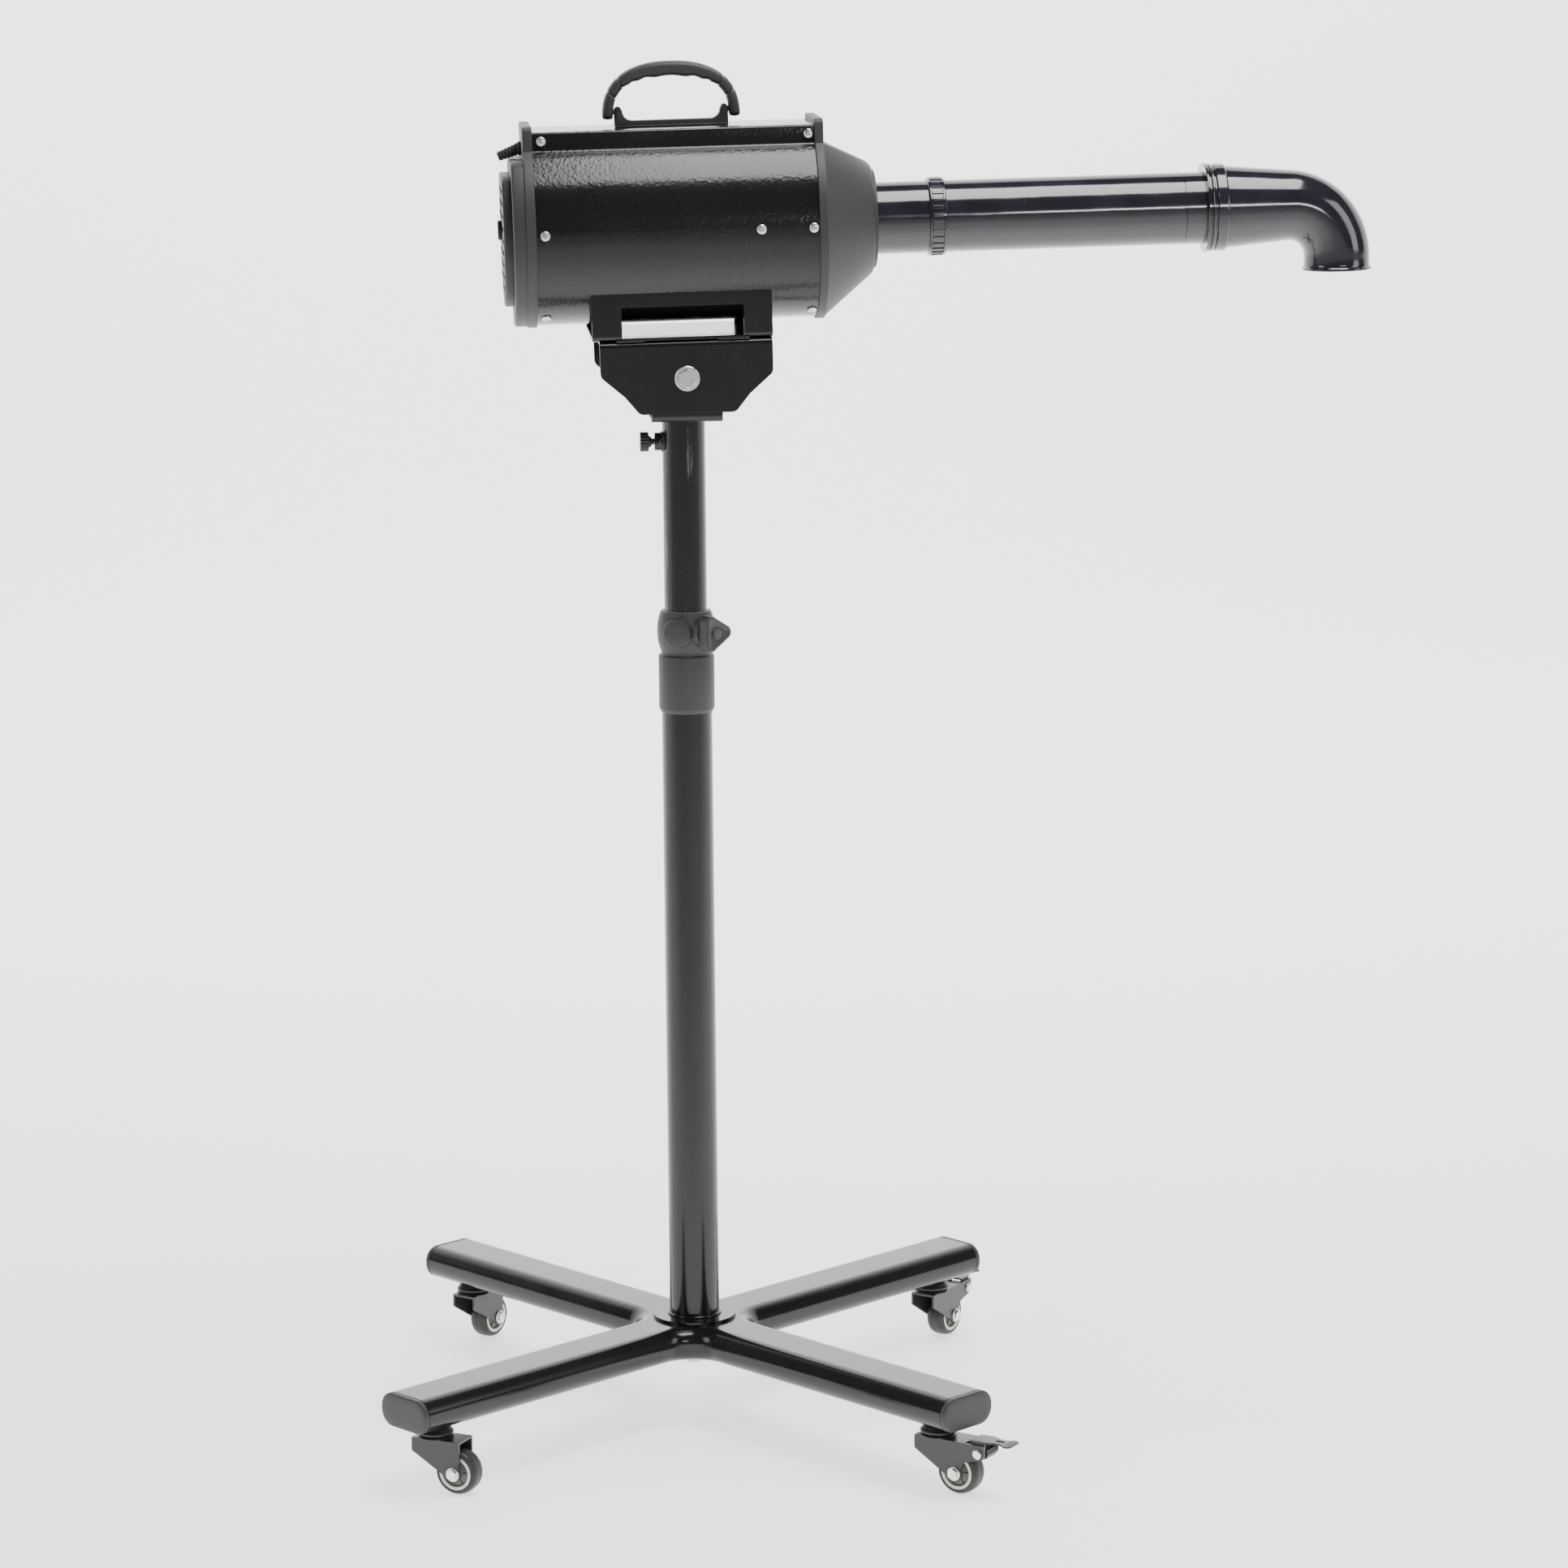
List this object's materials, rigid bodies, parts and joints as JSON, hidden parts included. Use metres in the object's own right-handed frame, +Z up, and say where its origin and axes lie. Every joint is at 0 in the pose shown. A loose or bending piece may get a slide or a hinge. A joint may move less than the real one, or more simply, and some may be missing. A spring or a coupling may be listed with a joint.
{
  "type": "stand dryer",
  "caption": "Grooming stand dryer: blower head with carry handle and down-turned nozzle on a tilting bracket, telescopic mast and cross base on swivel castors.",
  "frame": {"origin": "on the floor, on the mast's centre line", "axes": "+Z up along the mast, +X the way the nozzle points, +Y to the far side, where the switches are"},
  "size_m": [0.895, 0.5759, 1.2217],
  "materials": {
    "gloss_black": "gloss black powder coat with fine orange peel",
    "orange_peel_black": "gloss black powder coat over rolled sheet",
    "moulded_grey": "moulded dark grey plastic, fine grain",
    "handle_plastic": "moulded dark grey plastic, satin",
    "gloss_plastic": "polished black plastic",
    "black_plastic": "black plastic",
    "nylon": "natural nylon",
    "zinc": "bright zinc plate",
    "steel": "turned steel",
    "fork_coat": "dark grey coated steel",
    "tyre": "black polyurethane tread",
    "rim": "off-white nylon wheel centre",
    "rubber": "black rubber",
    "foam": "open black filter foam",
    "mica": "mica board",
    "duct": "bare aluminium sheet",
    "motor": "motor can",
    "fan": "moulded fan",
    "board": "circuit board"
  },
  "bodies": {
    "stand": {"legs": "gloss_black", "base_hub": "gloss_black", "hub_bolt": "zinc", "leg_end_caps": "moulded_grey", "castor_stems": "fork_coat", "outer_tube": "gloss_black", "clamp_collar": "moulded_grey", "collar_bush": "nylon"},
    "riser": {"inner_tube": "gloss_black", "glide_bush": "nylon"},
    "yoke": {"yoke": "gloss_black"},
    "head": {"tilt_washers": "nylon", "tilt_bolt": "zinc", "clevis": "gloss_black", "saddle": "gloss_black", "body_shell": "orange_peel_black", "control_box": "orange_peel_black", "rear_cap": "moulded_grey", "cable_gland": "rubber", "front_cone": "moulded_grey", "body_screws": "zinc", "air_duct": "duct", "fan_motor": "motor", "heater": "mica", "control_board": "board", "switch_frames": "black_plastic", "nozzle_base": "gloss_plastic", "nozzle_tube": "gloss_plastic", "handle_base": "handle_plastic", "handle_pins": "steel"},
    "hand_knob": {"clamp_knob": "black_plastic"},
    "thumb_screw": {"thumb_screw": "black_plastic"},
    "carry_grip": {"handle_grip": "handle_plastic"},
    "intake_cover": {"filter_cover": "moulded_grey", "filter_pad": "foam"},
    "intake_knob": {"filter_knob": "black_plastic"},
    "fan": {"impeller": "fan"},
    "nozzle_ring": {"lock_ring": "gloss_plastic"},
    "outlet_elbow": {"elbow": "gloss_plastic"},
    "power_switch": {"power_rocker": "black_plastic"},
    "heat_switch": {"heat_rocker": "black_plastic"},
    "speed_dial": {"speed_knob": "black_plastic"},
    "castor_front_right": {"fork_front_right": "fork_coat", "axle_front_right": "zinc"},
    "wheel_front_right": {"tyre_front_right": "tyre", "rim_front_right": "rim"},
    "pedal_front_right": {"brake_front_right": "fork_coat"},
    "castor_back_right": {"fork_back_right": "fork_coat", "axle_back_right": "zinc"},
    "wheel_back_right": {"tyre_back_right": "tyre", "rim_back_right": "rim"},
    "pedal_back_right": {"brake_back_right": "fork_coat"},
    "castor_back_left": {"fork_back_left": "fork_coat", "axle_back_left": "zinc"},
    "wheel_back_left": {"tyre_back_left": "tyre", "rim_back_left": "rim"},
    "castor_front_left": {"fork_front_left": "fork_coat", "axle_front_left": "zinc"},
    "wheel_front_left": {"tyre_front_left": "tyre", "rim_front_left": "rim"}
  },
  "joints": [
    {"name": "height_slide", "type": "slide", "parent": "stand", "child": "riser", "axis": [0, 0, 1], "range_m": [-0.12, 0.28]},
    {"name": "clamp_knob_turn", "type": "hinge", "parent": "stand", "child": "hand_knob", "pos_m": [0.02571, -0.03064, 0.722], "axis": [0.6428, -0.766, 0], "range_deg": [-180, 180]},
    {"name": "thumb_screw_turn", "type": "hinge", "parent": "riser", "child": "thumb_screw", "pos_m": [-0.031, 0, 0.8895], "axis": [-1, 0, 0], "range_deg": [-180, 180]},
    {"name": "head_pan", "type": "hinge", "parent": "riser", "child": "yoke", "pos_m": [0, 0, 0.9125], "axis": [0, 0, 1], "continuous": true},
    {"name": "head_tilt", "type": "hinge", "parent": "yoke", "child": "head", "pos_m": [0, 0, 0.9515], "axis": [0, -1, 0], "range_deg": [-45, 45]},
    {"name": "handle_fold", "type": "hinge", "parent": "head", "child": "carry_grip", "pos_m": [-0.00757, 0, 1.1789], "axis": [0.9998, 0, 0.0175], "range_deg": [-80, 80]},
    {"name": "intake_cover_off", "type": "slide", "parent": "head", "child": "intake_cover", "axis": [-0.9998, 0, -0.0175], "range_m": [0, 0.03]},
    {"name": "intake_knob_turn", "type": "hinge", "parent": "intake_cover", "child": "intake_knob", "pos_m": [-0.15621, 0, 1.07679], "axis": [-0.9998, 0, -0.0175], "range_deg": [-180, 180]},
    {"name": "fan_spin", "type": "hinge", "parent": "head", "child": "fan", "pos_m": [-0.05423, 0, 1.07857], "axis": [0.9998, 0, 0.0175], "continuous": true},
    {"name": "nozzle_ring_turn", "type": "hinge", "parent": "head", "child": "nozzle_ring", "pos_m": [0.21553, 0, 1.08328], "axis": [0.9998, 0, 0.0175], "range_deg": [-40, 40]},
    {"name": "elbow_swivel", "type": "hinge", "parent": "head", "child": "outlet_elbow", "pos_m": [0.4597, 0, 1.08754], "axis": [0.9998, 0, 0.0175], "continuous": true},
    {"name": "power_rocker_tip", "type": "hinge", "parent": "head", "child": "power_switch", "pos_m": [-0.07359, 0.043, 1.15645], "axis": [-0.0175, 0, 0.9998], "range_deg": [-8, 8]},
    {"name": "heat_rocker_tip", "type": "hinge", "parent": "head", "child": "heat_switch", "pos_m": [-0.03959, 0.043, 1.15704], "axis": [-0.0175, 0, 0.9998], "range_deg": [-8, 8]},
    {"name": "speed_dial_turn", "type": "hinge", "parent": "head", "child": "speed_dial", "pos_m": [-0.0016, 0.046, 1.1577], "axis": [0, 1, 0], "range_deg": [0, 270]},
    {"name": "swivel_front_right", "type": "hinge", "parent": "stand", "child": "castor_front_right", "pos_m": [0.19655, -0.23843, 0.05], "axis": [0, 0, 1], "continuous": true},
    {"name": "roll_front_right", "type": "hinge", "parent": "castor_front_right", "child": "wheel_front_right", "pos_m": [0.2148, -0.25243, 0.02], "axis": [0.6088, 0.7934, 0], "continuous": true},
    {"name": "brake_press_front_right", "type": "hinge", "parent": "castor_front_right", "child": "pedal_front_right", "pos_m": [0.23344, -0.26674, 0.0415], "axis": [0.6088, 0.7934, 0], "range_deg": [0, 12]},
    {"name": "swivel_back_right", "type": "hinge", "parent": "stand", "child": "castor_back_right", "pos_m": [0.23843, 0.19655, 0.05], "axis": [0, 0, 1], "continuous": true},
    {"name": "roll_back_right", "type": "hinge", "parent": "castor_back_right", "child": "wheel_back_right", "pos_m": [0.25227, 0.21492, 0.02], "axis": [-0.7986, 0.6018, 0], "continuous": true},
    {"name": "brake_press_back_right", "type": "hinge", "parent": "castor_back_right", "child": "pedal_back_right", "pos_m": [0.26642, 0.23369, 0.0415], "axis": [-0.7986, 0.6018, 0], "range_deg": [0, 12]},
    {"name": "swivel_back_left", "type": "hinge", "parent": "stand", "child": "castor_back_left", "pos_m": [-0.19655, 0.23843, 0.05], "axis": [0, 0, 1], "continuous": true},
    {"name": "roll_back_left", "type": "hinge", "parent": "castor_back_left", "child": "wheel_back_left", "pos_m": [-0.18271, 0.2568, 0.02], "axis": [-0.7986, 0.6018, 0], "continuous": true},
    {"name": "swivel_front_left", "type": "hinge", "parent": "stand", "child": "castor_front_left", "pos_m": [-0.23843, -0.19655, 0.05], "axis": [0, 0, 1], "continuous": true},
    {"name": "roll_front_left", "type": "hinge", "parent": "castor_front_left", "child": "wheel_front_left", "pos_m": [-0.21841, -0.20787, 0.02], "axis": [0.4924, 0.8704, 0], "continuous": true}
  ]
}
